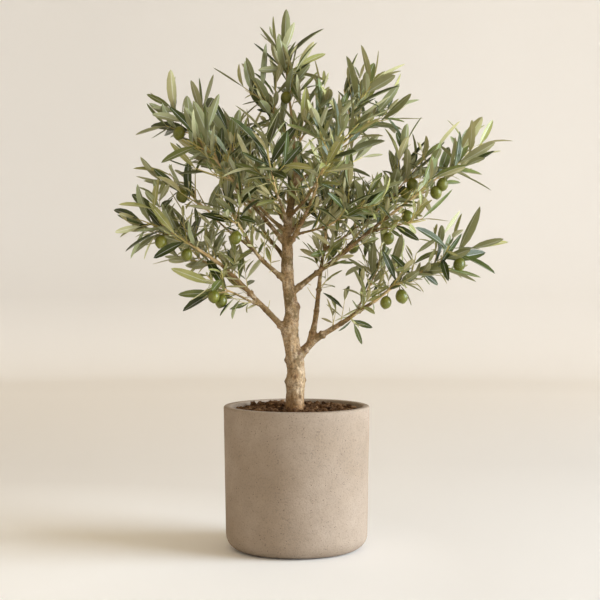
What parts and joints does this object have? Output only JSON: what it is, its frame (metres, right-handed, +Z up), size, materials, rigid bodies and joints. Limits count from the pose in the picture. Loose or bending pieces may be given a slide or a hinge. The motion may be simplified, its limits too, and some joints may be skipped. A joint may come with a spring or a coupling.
{
  "type": "potted olive tree",
  "caption": "Young olive tree with a slim trunk, open leafy crown and green olives, standing in a plain round concrete pot.",
  "frame": {"origin": "centre of the pot's flat underside", "axes": "+Z up along the trunk, X along the crown's widest spread, the side that is looked at faces -Y"},
  "size_m": [0.5973, 0.4429, 0.8054],
  "materials": {
    "concrete": "matt fine sandy cast concrete, warm taupe with small darker specks",
    "soil": "loose moist potting soil in dark reddish brown crumbs",
    "bark": "young rough bark, grey tan with fine cracks and leaf scars",
    "foliage": "leathery narrow leaves, dark green above and silvery grey green beneath, with green olives"
  },
  "bodies": {
    "root": {"bough_back_left": "bark", "bough_back_mid": "bark", "bough_back_right": "bark", "bough_front_left": "bark", "bough_front_mid": "bark", "bough_front_right": "bark", "bough_inner_left": "bark", "bough_inner_right": "bark", "bough_left_crest": "bark", "bough_left_spray": "bark", "bough_low_left": "bark", "bough_low_left_back": "bark", "bough_low_left_side": "bark", "bough_low_right": "bark", "bough_low_right_inner": "bark", "bough_mid_left": "bark", "bough_mid_right": "bark", "bough_mid_right_back": "bark", "bough_mid_right_under": "bark", "bough_right_fork": "bark", "bough_right_shoulder": "bark", "bough_right_upright": "bark", "bough_top_right": "bark", "bough_top_right_outer": "bark", "bough_upper_left": "bark", "bough_upper_left_back": "bark", "bough_upper_right": "bark", "foliage_back_left": "foliage", "foliage_back_mid": "foliage", "foliage_back_right": "foliage", "foliage_crest_left": "foliage", "foliage_crest_right": "foliage", "foliage_crown_tip": "foliage", "foliage_front_left": "foliage", "foliage_front_mid": "foliage", "foliage_front_right": "foliage", "foliage_inner_left": "foliage", "foliage_inner_right": "foliage", "foliage_left_crest": "foliage", "foliage_left_spray": "foliage", "foliage_low_left": "foliage", "foliage_low_left_back": "foliage", "foliage_low_left_side": "foliage", "foliage_low_right": "foliage", "foliage_low_right_inner": "foliage", "foliage_mid_left": "foliage", "foliage_mid_right": "foliage", "foliage_mid_right_back": "foliage", "foliage_mid_right_under": "foliage", "foliage_right_shoulder": "foliage", "foliage_right_upright": "foliage", "foliage_top_right": "foliage", "foliage_top_right_outer": "foliage", "foliage_upper_left": "foliage", "foliage_upper_left_back": "foliage", "foliage_upper_right": "foliage", "pot": "concrete", "soil": "soil", "trunk": "bark"}
  },
  "joints": []
}
